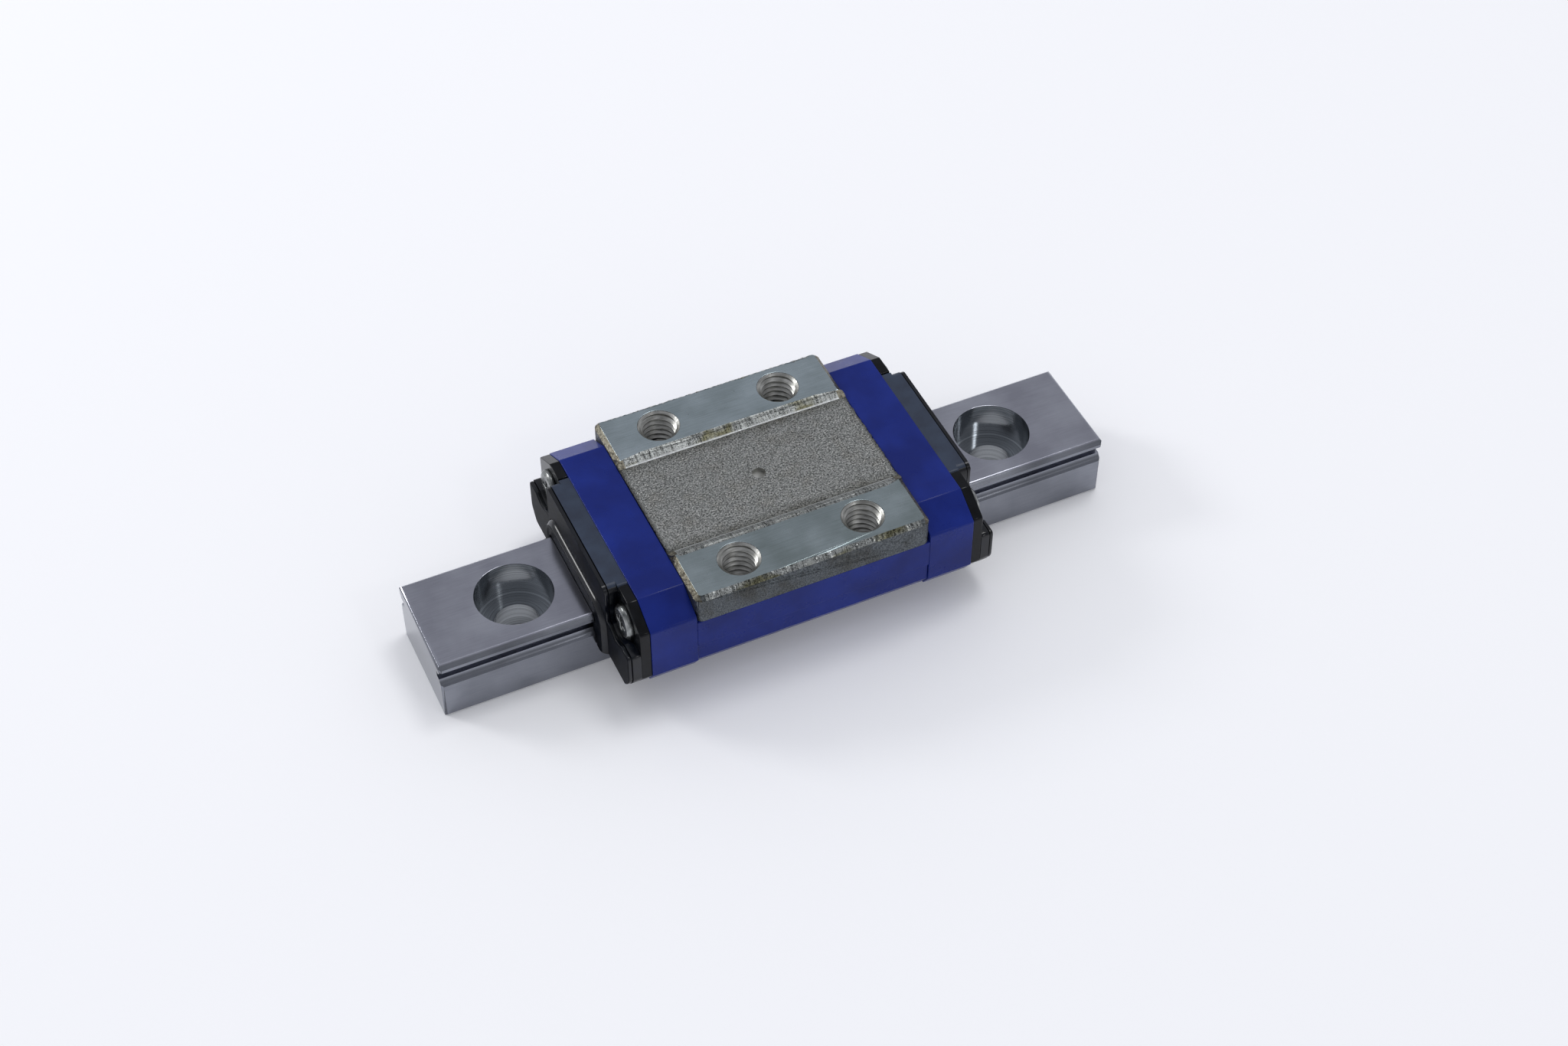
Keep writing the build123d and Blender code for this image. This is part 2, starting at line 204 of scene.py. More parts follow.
# a surface whose colour follows clouds of one size; a grain of its own, or else the clouds, can also
# set its gloss and a slight relief; sizes in mm
def cloudedMaterial(name, settings, look):
    material, tree, shader, place = newMaterial(name, settings)
    clouds = addNode(tree, "ShaderNodeTexNoise",
                     {"Scale": perMm(look["cloud"]), "Detail": look["detail"],
                      "Roughness": look.get("grit", 0.5)}, {"Vector": place})
    addNode(tree, "ShaderNodeValToRGB", {"stops": look["tones"]}, {"Fac": clouds.outputs["Fac"]},
            shader.inputs["Base Color"])
    grain = clouds
    if "grain" in look:
        grain = addNode(tree, "ShaderNodeTexNoise",
                        {"Scale": perMm(look["grain"]), "Detail": look["grainDetail"]}, {"Vector": place})
    if "gloss" in look:
        addNode(tree, "ShaderNodeMapRange", {"To Min": look["gloss"][0], "To Max": look["gloss"][1]},
                {"Value": grain.outputs["Fac"]}, shader.inputs["Roughness"])
    if "height" in look:
        addNode(tree, "ShaderNodeBump", {"Strength": look["strength"], "Distance": look["height"] * mm},
                {"Height": grain.outputs["Fac"]}, shader.inputs["Normal"])
    return material


# surface-ground hardened steel: clouded, with fine streaks along the rail; real grinding marks
# of 0.02 mm are drawn four times as wide so that they show
def groundSteel(name, look, tones):
    material, tree, shader, place = newMaterial(name, {"Metallic": 1.0})
    along = addNode(tree, "ShaderNodeMapping", {"Scale": (look["stretch"], 1, 1)}, {"Vector": place})
    streaks = addNode(tree, "ShaderNodeTexNoise", {"Scale": perMm(look["streak"]), "Detail": 3},
                      {"Vector": along.outputs[0]})
    clouds = addNode(tree, "ShaderNodeTexNoise", {"Scale": perMm(look["cloud"]), "Detail": look["detail"]},
                     {"Vector": place})
    blend = addNode(tree, "ShaderNodeMath", {"operation": "MULTIPLY_ADD", 1: look["streakShare"]},
                    {0: streaks.outputs["Fac"], 2: clouds.outputs["Fac"]})
    tint = addNode(tree, "ShaderNodeValToRGB", {"stops": list(zip(look["spread"], tones))},
                   {"Fac": blend.outputs[0]})
    color = tint.outputs[0]
    if "speck" in look:  # dark pinholes, about one in twenty cells
        specks = addNode(tree, "ShaderNodeTexVoronoi", {"Scale": perMm(look["speck"])}, {"Vector": place})
        small = addNode(tree, "ShaderNodeMapRange", {"From Min": 0.06, "From Max": 0.12},
                        {"Value": specks.outputs["Distance"]})
        rare = addNode(tree, "ShaderNodeSeparateColor", {}, {0: specks.outputs["Color"]})
        common = addNode(tree, "ShaderNodeMath", {"operation": "LESS_THAN", 1: 0.95}, {0: rare.outputs[0]})
        clean = addNode(tree, "ShaderNodeMath", {"operation": "MAXIMUM"},
                        {0: small.outputs[0], 1: common.outputs[0]})
        mixed = addNode(tree, "ShaderNodeMix", {"data_type": "RGBA", 6: hexColor(look["speckTone"])},
                        {0: clean.outputs[0], 7: color})
        color = mixed.outputs[2]
    tree.links.new(color, shader.inputs["Base Color"])
    addNode(tree, "ShaderNodeMapRange", {"To Min": look["gloss"][0], "To Max": look["gloss"][1]},
            {"Value": clouds.outputs["Fac"]}, shader.inputs["Roughness"])
    addNode(tree, "ShaderNodeBump", {"Strength": look["strength"], "Distance": look["height"] * mm},
            {"Height": streaks.outputs["Fac"]}, shader.inputs["Normal"])
    return material


# the pads: cool grey; the near one gets a darker copy of the same steel, a painted shade
padLook = {"rear": ("#939FA2", "#AFBBC1"), "front": ("#828D8D", "#9BA6AA"), "stretch": 0.03, "streak": 0.07,
           "cloud": 3.2, "detail": 4, "streakShare": 0.55, "spread": (0.5, 0.98), "speck": 0.35,
           "speckTone": "#3C3E3E", "gloss": (0.18, 0.34), "strength": 0.6, "height": 0.004}
padSteel = groundSteel("groundPadSteel", padLook, padLook["rear"])
shadedFrontPadSteel = groundSteel("groundFrontPadSteelShaded", padLook, padLook["front"])

# the rail: lilac-grey, glossier than the pads, so that it mirrors the seal's lip; its sides get a darker copy
# of the same steel, a painted shade
railLook = {"top": ("#9E9FAA", "#B3B5BF"), "side": ("#7E8189", "#93969F"), "stretch": 0.04, "streak": 0.08,
            "cloud": 4, "detail": 3, "streakShare": 0.3, "spread": (0.45, 0.85), "gloss": (0.1, 0.26),
            "strength": 0.35, "height": 0.002}
railSteel = groundSteel("groundRailSteel", railLook, railLook["top"])
shadedSideSteel = groundSteel("groundRailSideSteelShaded", railLook, railLook["side"])

# bead-blasted recess: even pitted grain of about 0.12 mm that sparkles, with warm flecks,
# an olive film of oil along the pads, darker at the foot of their slopes as painted shade, and dirt with
# painted shade at the ends
recessLook = {"tones": [(0.33, "#4B4B49"), (0.5, "#888A88"), (0.68, "#BABAB7")], "grain": 0.12,
              "height": 0.05, "cloud": 1.6, "fleck": "#B29A72", "oil": "#6E6A55", "oilAndShadeFrom": 3.7,
              "oilAndShadeTo": 4.6, "dirtAndShadeTone": "#2B2926", "dirtAndShadeFrom": 9.33, "dirtAndShadeTo": 9.62, "ragged": 0.35}


def blastedSteel():
    look = recessLook
    material, tree, shader, place = newMaterial("blastedSteel", {"Metallic": 1.0, "Roughness": 0.38})
    grain = addNode(tree, "ShaderNodeTexNoise",
                    {"Scale": perMm(look["grain"]), "Detail": 2, "Roughness": 0.6}, {"Vector": place})
    pits = addNode(tree, "ShaderNodeTexVoronoi", {"Scale": perMm(look["grain"] * 1.3)}, {"Vector": place})
    tint = addNode(tree, "ShaderNodeValToRGB", {"stops": look["tones"]}, {"Fac": grain.outputs["Fac"]})
    clouds = addNode(tree, "ShaderNodeTexNoise", {"Scale": perMm(look["cloud"]), "Detail": 4},
                     {"Vector": place})
    warm = addNode(tree, "ShaderNodeMapRange", {"From Min": 0.5, "From Max": 0.72, "To Max": 0.2},
                   {"Value": clouds.outputs["Fac"]})
    flecked = addNode(tree, "ShaderNodeMix",
                      {"data_type": "RGBA", "blend_type": "MULTIPLY", 7: hexColor(look["fleck"])},
                      {0: warm.outputs[0], 6: tint.outputs[0]})
    axes = addNode(tree, "ShaderNodeSeparateXYZ", {}, {0: place})
    across = addNode(tree, "ShaderNodeMath", {"operation": "ABSOLUTE"}, {0: axes.outputs["Y"]})
    # patchy olive darkening that grows towards the pads' slopes: oil film, and painted shade at their foot
    near = addNode(tree, "ShaderNodeMapRange",
                   {"From Min": look["oilAndShadeFrom"] * mm, "From Max": look["oilAndShadeTo"] * mm},
                   {"Value": across.outputs[0]})
    patchyOilAndShade = addNode(tree, "ShaderNodeMath", {"operation": "MULTIPLY"},
                     {0: near.outputs[0], 1: clouds.outputs["Fac"]})
    oiled = addNode(tree, "ShaderNodeMix",
                    {"data_type": "RGBA", "blend_type": "MULTIPLY", 7: hexColor(look["oil"])},
                    {0: patchyOilAndShade.outputs[0], 6: flecked.outputs[2]})
    # darker towards the ends next to the caps: dirt, and painted shade at the seam
    along = addNode(tree, "ShaderNodeMath", {"operation": "ABSOLUTE"}, {0: axes.outputs["X"]})
    ragged = addNode(tree, "ShaderNodeMath", {"operation": "MULTIPLY_ADD", 1: look["ragged"] * mm},
                     {0: grain.outputs["Fac"], 2: along.outputs[0]})
    end = addNode(tree, "ShaderNodeMapRange",
                  {"From Min": look["dirtAndShadeFrom"] * mm, "From Max": look["dirtAndShadeTo"] * mm, "To Max": 0.85},
                  {"Value": ragged.outputs[0]})
    dirtAndShadeAtEnds = addNode(tree, "ShaderNodeMix", {"data_type": "RGBA", 7: hexColor(look["dirtAndShadeTone"])},
                    {0: end.outputs[0], 6: oiled.outputs[2]})
    tree.links.new(dirtAndShadeAtEnds.outputs[2], shader.inputs["Base Color"])
    relief = addNode(tree, "ShaderNodeMath", {"operation": "MULTIPLY_ADD", 1: 0.6},
                     {0: pits.outputs["Distance"], 2: grain.outputs["Fac"]})
    addNode(tree, "ShaderNodeBump", {"Strength": 1.0, "Distance": look["height"] * mm},
            {"Height": relief.outputs[0]}, shader.inputs["Normal"])
    return material


# milled and tumbled flanks of the block: coarse grey grain with dark pits and rusty oil,
# slanting ridges towards the pads
flankLook = {"tones": [(0.38, "#3F4345"), (0.64, "#797E81")], "rust": "#A8977A", "grain": 0.11,
             "height": 0.03, "cloud": 2.2, "ridge": 0.16, "slant": 38, "ridgeFrom": 8.2, "ridgeTo": 9.2,
             "ridgeHeight": 0.12}


def coarseFlankSteel():
    look = flankLook
    material, tree, shader, place = newMaterial("coarseFlankSteel", {"Metallic": 1.0, "Roughness": 0.45})
    grain = addNode(tree, "ShaderNodeTexNoise",
                    {"Scale": perMm(look["grain"]), "Detail": 4, "Roughness": 0.7}, {"Vector": place})
    tint = addNode(tree, "ShaderNodeValToRGB", {"stops": look["tones"]}, {"Fac": grain.outputs["Fac"]})
    clouds = addNode(tree, "ShaderNodeTexNoise", {"Scale": perMm(look["cloud"]), "Detail": 4},
                     {"Vector": place})
    stain = addNode(tree, "ShaderNodeMapRange", {"From Min": 0.5, "From Max": 0.68, "To Max": 0.55},
                    {"Value": clouds.outputs["Fac"]})
    stained = addNode(tree, "ShaderNodeMix",
                      {"data_type": "RGBA", "blend_type": "MULTIPLY", 7: hexColor(look["rust"])},
                      {0: stain.outputs[0], 6: tint.outputs[0]})
    tree.links.new(stained.outputs[2], shader.inputs["Base Color"])
    slanted = addNode(tree, "ShaderNodeMapping",
                      {"Rotation": (0, math.radians(look["slant"]), 0), "Scale": (1, 1, 0.16)},
                      {"Vector": place})
    ridges = addNode(tree, "ShaderNodeTexNoise", {"Scale": perMm(look["ridge"]), "Detail": 1},
                     {"Vector": slanted.outputs[0]})
    axes = addNode(tree, "ShaderNodeSeparateXYZ", {}, {0: place})
    high = addNode(tree, "ShaderNodeMapRange",
                   {"From Min": look["ridgeFrom"] * mm, "From Max": look["ridgeTo"] * mm,
                    "To Max": look["ridgeHeight"] / look["height"]}, {"Value": axes.outputs["Z"]})
    relief = addNode(tree, "ShaderNodeMath", {"operation": "MULTIPLY_ADD"},
                     {0: ridges.outputs["Fac"], 1: high.outputs[0], 2: grain.outputs["Fac"]})
    addNode(tree, "ShaderNodeBump", {"Strength": 1.0, "Distance": look["height"] * mm},
            {"Height": relief.outputs[0]}, shader.inputs["Normal"])
    return material


# broken pad edges: torn bright steel with fine teeth across the edge and a bright burr at its foot,
# olive where rust-preventing oil has stayed
tornLook = {"tones": [(0.61, "#393B3A"), (0.83, "#AEB1AF")], "oil": "#A39A63", "grain": 0.09,
            "height": 0.02, "tooth": 0.16, "toothHeight": 0.06, "toothTurn": 12, "clump": 2.6,
            "shift": 3.2, "burr": "#E2E4E4", "burrFrom": 4.66, "burrTo": 4.76, "cleanEdge": -5,
            "cleanReach": 1}


def tornEdgeSteel():
    look = tornLook
    material, tree, shader, place = newMaterial("tornEdgeSteel", {"Metallic": 1.0, "Roughness": 0.32})
    grain = addNode(tree, "ShaderNodeTexNoise",
                    {"Scale": perMm(look["grain"]), "Detail": 3, "Roughness": 0.7}, {"Vector": place})
    drawn = addNode(tree, "ShaderNodeMapping",
                    {"Rotation": (0, 0, math.radians(look["toothTurn"])), "Scale": (1, 0.1, 0.1)},
                    {"Vector": place})
    teeth = addNode(tree, "ShaderNodeTexNoise", {"Scale": perMm(look["tooth"]), "Detail": 1},
                    {"Vector": drawn.outputs[0]})
    tones = addNode(tree, "ShaderNodeMath", {"operation": "MULTIPLY_ADD", 1: 0.5},
                    {0: teeth.outputs["Fac"], 2: grain.outputs["Fac"]})
    tint = addNode(tree, "ShaderNodeValToRGB", {"stops": look["tones"]}, {"Fac": tones.outputs[0]})
    moved = addNode(tree, "ShaderNodeMapping", {"Location": (look["shift"] * mm, 0, 0)}, {"Vector": place})
    clouds = addNode(tree, "ShaderNodeTexNoise", {"Scale": perMm(look["clump"]), "Detail": 3},
                     {"Vector": moved.outputs[0]})
    film = addNode(tree, "ShaderNodeMapRange", {"From Min": 0.5, "From Max": 0.62, "To Max": 0.8},
                   {"Value": clouds.outputs["Fac"]})
    axes = addNode(tree, "ShaderNodeSeparateXYZ", {}, {0: place})
    dry = addNode(tree, "ShaderNodeMath",
                  {"operation": "COMPARE", 1: look["cleanEdge"] * mm, 2: look["cleanReach"] * mm},
                  {0: axes.outputs["Y"]})
    wet = addNode(tree, "ShaderNodeMath", {"operation": "SUBTRACT", "use_clamp": True},
                  {0: film.outputs[0], 1: dry.outputs[0]})  # the front pad's inner edge is clean
    oiled = addNode(tree, "ShaderNodeMix",
                    {"data_type": "RGBA", "blend_type": "MULTIPLY", 7: hexColor(look["oil"])},
                    {0: wet.outputs[0], 6: tint.outputs[0]})
    across = addNode(tree, "ShaderNodeMath", {"operation": "ABSOLUTE"}, {0: axes.outputs["Y"]})
    foot = addNode(tree, "ShaderNodeMapRange",
                   {"From Min": look["burrTo"] * mm, "From Max": look["burrFrom"] * mm, "To Max": 0.8},
                   {"Value": across.outputs[0]})
    edged = addNode(tree, "ShaderNodeMix", {"data_type": "RGBA", 7: hexColor(look["burr"])},
                    {0: foot.outputs[0], 6: oiled.outputs[2]})
    tree.links.new(edged.outputs[2], shader.inputs["Base Color"])
    relief = addNode(tree, "ShaderNodeMath",
                     {"operation": "MULTIPLY_ADD", 1: look["toothHeight"] / look["height"]},
                     {0: teeth.outputs["Fac"], 2: grain.outputs["Fac"]})
    addNode(tree, "ShaderNodeBump", {"Strength": 0.8, "Distance": look["height"] * mm},
            {"Height": relief.outputs[0]}, shader.inputs["Normal"])
    return material


# cut threads: bright turned steel with a slightly warm cast from oil
threadLook = {"tones": [(0.3, "#8F8F8A"), (0.7, "#CDCDC9")], "ring": 0.12}


def cutThreadSteel():
    material, tree, shader, place = newMaterial("cutThreadSteel", {"Metallic": 1.0, "Roughness": 0.36})
    rings = addNode(tree, "ShaderNodeMapping", {"Scale": (0.15, 0.15, 1)}, {"Vector": place})
    grain = addNode(tree, "ShaderNodeTexNoise", {"Scale": perMm(threadLook["ring"]), "Detail": 2},
                    {"Vector": rings.outputs[0]})
    addNode(tree, "ShaderNodeValToRGB", {"stops": threadLook["tones"]}, {"Fac": grain.outputs["Fac"]},
            shader.inputs["Base Color"])
    return material


# bored holes of the rail: bright steel with turning marks as rings round each hole;
# marks of 0.05 mm are drawn 0.12 mm apart so that they show
boreLook = {"tones": [(0.35, "#8C9095"), (0.65, "#C2C6CA")], "ring": 0.12, "holePitch": 20, "height": 0.004}


def boredSteel():
    material, tree, shader, place = newMaterial("boredSteel", {"Metallic": 1.0, "Roughness": 0.14})
    axes = addNode(tree, "ShaderNodeSeparateXYZ", {}, {0: place})
    half = boreLook["holePitch"] / 2 * mm
    fromHole = addNode(tree, "ShaderNodeMath", {"operation": "WRAP", 1: half, 2: -half},
                       {0: axes.outputs["X"]})
    flat = addNode(tree, "ShaderNodeCombineXYZ", {}, {"X": fromHole.outputs[0], "Y": axes.outputs["Y"]})
    reach = addNode(tree, "ShaderNodeVectorMath", {"operation": "LENGTH"}, {0: flat.outputs[0]})
    rings = addNode(tree, "ShaderNodeCombineXYZ", {}, {"X": reach.outputs["Value"], "Z": axes.outputs["Z"]})
    marks = addNode(tree, "ShaderNodeTexNoise", {"Scale": perMm(boreLook["ring"]), "Detail": 2},
                    {"Vector": rings.outputs[0]})
    addNode(tree, "ShaderNodeValToRGB", {"stops": boreLook["tones"]}, {"Fac": marks.outputs["Fac"]},
            shader.inputs["Base Color"])
    addNode(tree, "ShaderNodeBump", {"Strength": 0.5, "Distance": boreLook["height"] * mm},
            {"Height": marks.outputs["Fac"]}, shader.inputs["Normal"])
    return material


recessSteel = blastedSteel()
flankSteel = coarseFlankSteel()
tornSteel = tornEdgeSteel()
threadSteel = cutThreadSteel()
boreSteel = boredSteel()

# end chamfers of the pads: steel browned by old oil
brownLook = {"tones": [(0.35, "#46423A"), (0.65, "#8E8A7C")], "cloud": 0.25, "detail": 4, "grit": 0.65,
             "strength": 1.0, "height": 0.03}
brownSteel = cloudedMaterial("brownedSteel", {"Metallic": 1.0, "Roughness": 0.42}, brownLook)

# blue polyamide of caps and side parts: moulded, semi-gloss, with faint flow clouds
resinLook = {"tones": [(0.35, "#0D1E68"), (0.7, "#152A80")], "cloud": 4, "detail": 4, "grain": 1.4,
             "grainDetail": 3, "gloss": (0.22, 0.36), "strength": 0.3, "height": 0.012}
blueResin = cloudedMaterial("mouldedBlueResin", {"IOR": 1.5, "Specular IOR Level": 0.2}, resinLook)

# natural acetal of the turn guides: moulded, matt cream
acetalLook = {"tones": [(0.3, "#D2CDBE"), (0.7, "#E0DCCF")], "cloud": 0.8, "detail": 2}
acetal = cloudedMaterial("naturalAcetal", {"Roughness": 0.45, "IOR": 1.48}, acetalLook)

# nitrile rubber, near black: wet with oil on the lip's crest and shoulder
rubberTones = [(0.35, "#05070B"), (0.7, "#10141D")]
wetLook = {"tones": rubberTones, "cloud": 1.5, "detail": 3, "strength": 0.25, "height": 0.02}
wetRubber = cloudedMaterial(
    "oiledRubber", {"Roughness": 0.2, "IOR": 1.45, "Specular IOR Level": 0.5}, wetLook)

# the same rubber on the seal's flat face and in the lip's valley: moulded against an etched wall, dull
dullLook = {"tones": rubberTones, "cloud": 0.9, "detail": 4}
faceRubber = cloudedMaterial(
    "dullRubber", {"Roughness": 0.5, "IOR": 1.2, "Specular IOR Level": 0.3}, dullLook)

# the same rubber where it is dry, on the hood: slate, with a fine moulded matt grain
hoodLook = {"tones": [(0.35, "#1E293D"), (0.7, "#29374C")], "cloud": 1.4, "detail": 4, "grain": 0.12,
            "grainDetail": 2, "strength": 0.3, "height": 0.006}
hoodRubber = cloudedMaterial("dryRubber", {"Roughness": 0.4, "IOR": 1.48}, hoodLook)

# enamelled backing plate: black, glossy
plateLook = {"tones": [(0.35, "#07080A"), (0.7, "#101216")], "cloud": 1, "detail": 3}
plateBlack = cloudedMaterial(
    "blackEnamel", {"Roughness": 0.18, "IOR": 1.4, "Specular IOR Level": 0.3}, plateLook)

# cold-formed screw steel under a film of oil: grey, with worn bright spots
screwLook = {"tones": [(0.35, "#565A5A"), (0.65, "#A3A5A4")], "cloud": 0.7, "detail": 4, "strength": 0.3,
             "height": 0.02}
screwSteel = cloudedMaterial("oiledScrewSteel", {"Metallic": 1.0, "Roughness": 0.26}, screwLook)

# lapped bearing balls, bright, and drawn spring wire, a little duller
ballLook = {"tones": [(0.3, "#A8A8AB"), (0.8, "#C4C4C6")], "cloud": 0.4, "detail": 2}
wireLook = {"tones": [(0.3, "#8E8E90"), (0.8, "#C4C4C6")], "cloud": 0.4, "detail": 2}
ballSteel = cloudedMaterial("lappedBallSteel", {"Metallic": 1.0, "Roughness": 0.12}, ballLook)
wireSteel = cloudedMaterial("drawnWireSteel", {"Metallic": 1.0, "Roughness": 0.3}, wireLook)
print("materials made")

# rail: rounded upright corners and top edges, turned marks inside the counterbored holes;
# what lies outside outlineX or outlineY belongs to its outline
railShape = {"edge": 0.11, "rim": 0.04, "cornerRadius": 0.5, "boreRadius": 3.06, "endClear": 26,
             "halfLength": 27.5, "halfWidth": 4.5, "outlineX": 27, "outlineY": 3.6, "sideDrop": 0.06,
             "boreDrop": 0.08, "boreFoot": 0.02}
rail = copyNode("rail", "guideRail")
railTop = max(vertex.co.z for vertex in rail.data.vertices) / mm
for end in (-1, 1):
    for side in (-1, 1):
        for turn in (22.5, 45, 67.5):  # each upright corner is rounded by three flat cuts
            angle = math.radians(turn)
            outward = Vector((end * math.cos(angle), side * math.sin(angle), 0))
            radius = railShape["cornerRadius"]
            centre = Vector((end * (railShape["halfLength"] - radius),
                             side * (railShape["halfWidth"] - radius), 0))
            pick(rail, "FACE", lambda c, n: True)
            bpy.ops.mesh.bisect(plane_co=(centre + outward * radius) * mm, plane_no=outward,
                                use_fill=True, clear_outer=True)
            bpy.ops.object.mode_set(mode="OBJECT")


def onOutline(a, b):
    return min(abs(a.y), abs(b.y)) > railShape["outlineY"] or min(abs(a.x), abs(b.x)) > railShape["outlineX"]


def onTop(a, b):
    return min(a.z, b.z) > railTop - 0.01


roundEdges(rail, railShape["edge"], 3, lambda a, b: onTop(a, b) and onOutline(a, b), 12)
roundEdges(rail, railShape["rim"], 2, lambda a, b: onTop(a, b) and not onOutline(a, b))
keepInside(rail, "rail")
smooth(rail)
dress(rail, "rail", ["rail"], [railSteel, boreSteel, shadedSideSteel])
# faces below the top that do not face up wear the darker copy of the rail steel: painted shade
paintFaces(rail, 2, lambda c, n: c.z < railTop - railShape["sideDrop"] and n.z < 0.9)
paintFaces(rail, 1, lambda c, n: abs(c.y) < railShape["boreRadius"] and abs(c.x) < railShape["endClear"]
           and railShape["boreFoot"] < c.z < railTop - railShape["boreDrop"])
print("rail made")

# steel block: bores opened to the thread's full width, small roundings on its ends and rims;
# the last three rows are heights and places that tell its faces apart
blockShape = {"tapRadius": 1.25, "threadRadius": 1.5, "pitch": 0.5, "holeX": 5, "holeY": 7.5, "top": 10,
              "threadTop": 9.6, "threadFoot": 7.0, "mouthRadius": 1.65, "edge": 0.05, "rim": 0.04,
              "endRounding": (5.9, 9.2), "recessFloor": 9.7, "recessEdge": 4.6, "padInner": 5.25,
              "padFoot": 9.9, "recess": (9.3, 9.75), "recessHalf": 4.65, "dimple": 0.6,
              "endEdge": 9.0, "endRim": 9.2, "edgeFoot": 9.6, "bore": (6, 9.98), "boreReach": 1.64,
              "dimpleDepths": (9, 9.69)}
holes = [(x * blockShape["holeX"], y * blockShape["holeY"]) for x in (-1, 1) for y in (-1, 1)]


def openBore(piece, holeX, holeY):
    pick(piece, "VERT", lambda p: p.z > blockShape["threadFoot"] - 0.1 and abs(
        math.hypot(p.x - holeX, p.y - holeY) - blockShape["tapRadius"]) < 0.02)
    factor = (blockShape["threadRadius"] + 0.02) / blockShape["tapRadius"]
    bpy.ops.transform.resize(value=(factor, factor, 1), center_override=(holeX * mm, holeY * mm, 0))
    bpy.ops.object.mode_set(mode="OBJECT")


# smooth noise at a point in mm: two values set how fast it changes along x and y, the third its pattern
def uneven(p, pattern):
    return noise.noise(Vector((p.x * pattern[0], p.y * pattern[1], pattern[2])))


# whether two places in mm are equal to within a hair
def same(u, v):
    return abs(u - v) < 0.002


# inner pad edges: the pad's edge over the slope is cut fine, then chipped; each band says
# between which places across the block the edges to divide lie
tornShape = {"reach": 8.9, "stripInner": 4.55, "stripOuter": 5.5, "cuts": 100, "slopeRows": 4, "chip": 0.2,
             "coarse": (1.9, 2.5, 3.1), "fine": (7.3, 2.9, 8.7), "slopeFoot": 9.75,
             "longFoot": 9.65, "longBand": (4.5, 5.6), "slopeBand": (4.5, 5.3), "stripBand": (5.2, 5.55)}


def tearInnerEdges(piece):
    t, b = tornShape, blockShape
    for side in (-1, 1):
        cut(piece, lambda c, n: c.z > b["top"] - 0.01 and n.z > 0.99 and c.y * side > b["padInner"],
            (0, side * t["stripOuter"], 0), (0, 1, 0))
    for end in (-1, 1):
        cut(piece, lambda c, n: c.z > t["slopeFoot"] and b["recessEdge"] < abs(c.y) < t["stripOuter"],
            (end * t["reach"], 0, 0), (1, 0, 0))

    def longEdge(a, c):
        low, high = t["longBand"]
        return same(abs(a.x), t["reach"]) and same(a.x, -c.x) and same(a.y, c.y) \
            and low < abs(a.y) < high and a.z > t["longFoot"]

    def slopeEdge(a, c):
        low, high = t["slopeBand"]
        return same(a.x, c.x) and abs(a.x) < t["reach"] + 0.01 and abs(a.y - c.y) > 0.6 \
            and low < min(abs(a.y), abs(c.y)) and max(abs(a.y), abs(c.y)) < high

    def stripEdge(a, c):
        low, high = t["stripBand"]
        return same(a.x, c.x) and abs(a.x) < t["reach"] + 0.01 and 0.2 < abs(a.y - c.y) < 0.3 \
            and low < min(abs(a.y), abs(c.y)) and max(abs(a.y), abs(c.y)) < high

    divide(piece, t["cuts"], longEdge)
    divide(piece, t["slopeRows"], slopeEdge)
    divide(piece, 1, stripEdge)
    for vertex in piece.data.vertices:
        p = vertex.co / mm
        side = 1 if p.y > 0 else -1
        y = abs(p.y)
        if abs(p.x) > t["reach"] - 0.01 or p.z < b["recessFloor"] - 0.01 \
                or not t["stripInner"] < y < t["stripOuter"] - 0.01:
            continue
        coarse = uneven(p, t["coarse"])
        fine = uneven(p, t["fine"])
        if y < b["recessEdge"] + 0.02:
            y += 0.09 * fine
        else:
            p.z -= t["chip"] * max(0.0, 0.25 + coarse + 0.6 * fine)
            y += 0.07 * fine
        vertex.co = Vector((p.x, side * y, max(min(p.z, b["top"] - 0.002), b["recessFloor"]))) * mm


# outer pad edges: the chamfer, 0.35 mm wide, broken into slanting ridges like a coarse saw cut
ridgeShape = {"reach": 8.7, "outer": 9.6, "width": 0.35, "cuts": 100, "rows": 3, "spacing": 0.25,
              "slant": 1.2, "depth": 0.15, "coarse": (1.3, 1, 5.2), "fine": (6.1, 5.3, 1.9), "from": 9.55}


def ridgeOuterEdges(piece):
    r, b = ridgeShape, blockShape
    for end in (-1, 1):
        cut(piece, lambda c, n: min(c.z, abs(c.y)) > r["from"] and 0.03 < n.z < 0.998,
            (end * r["reach"], 0, 0), (1, 0, 0))

    def longEdge(a, c):
        return same(abs(a.x), r["reach"]) and same(a.x, -c.x) and same(a.y, c.y) \
            and min(a.z, abs(a.y)) > r["from"]

    def crossEdge(a, c):
        return same(a.x, c.x) and abs(a.x) < r["reach"] + 0.01 and (a - c).length > 0.25 \
            and min(abs(a.y), abs(c.y)) > r["outer"] and min(a.z, c.z) > b["edgeFoot"]

    divide(piece, r["cuts"], longEdge)
    divide(piece, r["rows"], crossEdge)
    for vertex in piece.data.vertices:
        p = vertex.co / mm
        y = abs(p.y)
        if abs(p.x) > r["reach"] - 0.01 or y < r["outer"] or p.z < b["edgeFoot"]:
            continue
        side = 1 if p.y > 0 else -1
        down = y - (b["top"] - r["width"])  # 0 at the pad, the chamfer's width at the flank
        fine = uneven(p, r["fine"])
        coarse = uneven(p, r["coarse"])
        ridge = ((p.x + r["slant"] * down + 0.3 * coarse) / r["spacing"]) % 1
        depth = 0.7 * (r["depth"] * (0.35 + 1.3 * abs(coarse)) * ridge + 0.04 * max(0.0, fine))
        vertex.co = Vector((p.x, side * (y - depth), p.z - depth)) * mm


# ends of the recess: the steel's edge over the caps is nicked
nickShape = {"reach": 4.4, "endEdge": 9.38, "cuts": 90, "depth": 0.09, "pattern": (1, 4.3, 2.2),
             "half": 4.7, "foot": 9.64}


